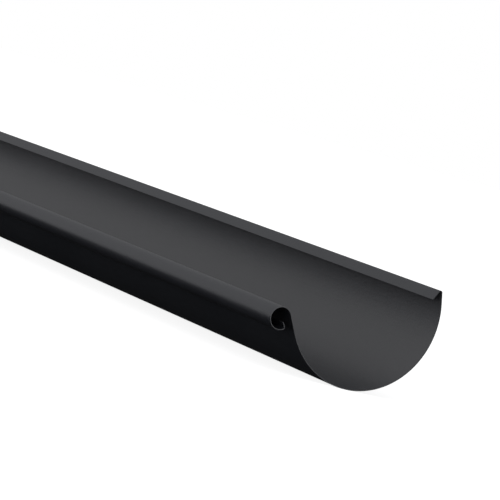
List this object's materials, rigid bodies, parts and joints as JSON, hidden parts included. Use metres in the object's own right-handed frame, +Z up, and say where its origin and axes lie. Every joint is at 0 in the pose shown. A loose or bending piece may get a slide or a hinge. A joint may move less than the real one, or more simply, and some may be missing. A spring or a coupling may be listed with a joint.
{
  "type": "half-round gutter section",
  "caption": "Straight length of half-round sheet-steel roof gutter with a rolled front bead and a folded rear lip.",
  "frame": {"origin": "where the round trough touches the floor, at the middle of the length, as the gutter lies at rest", "axes": "+X along the gutter, +Y towards the rear wall and its lip, with the bead on the -Y side, +Z up"},
  "size_m": [2, 0.1411, 0.0891],
  "materials": {
    "painted_steel": "semi-matt dark graphite grey coil coating on both faces, with a fine grain"
  },
  "bodies": {
    "root": {"gutter": "painted_steel"}
  },
  "joints": []
}
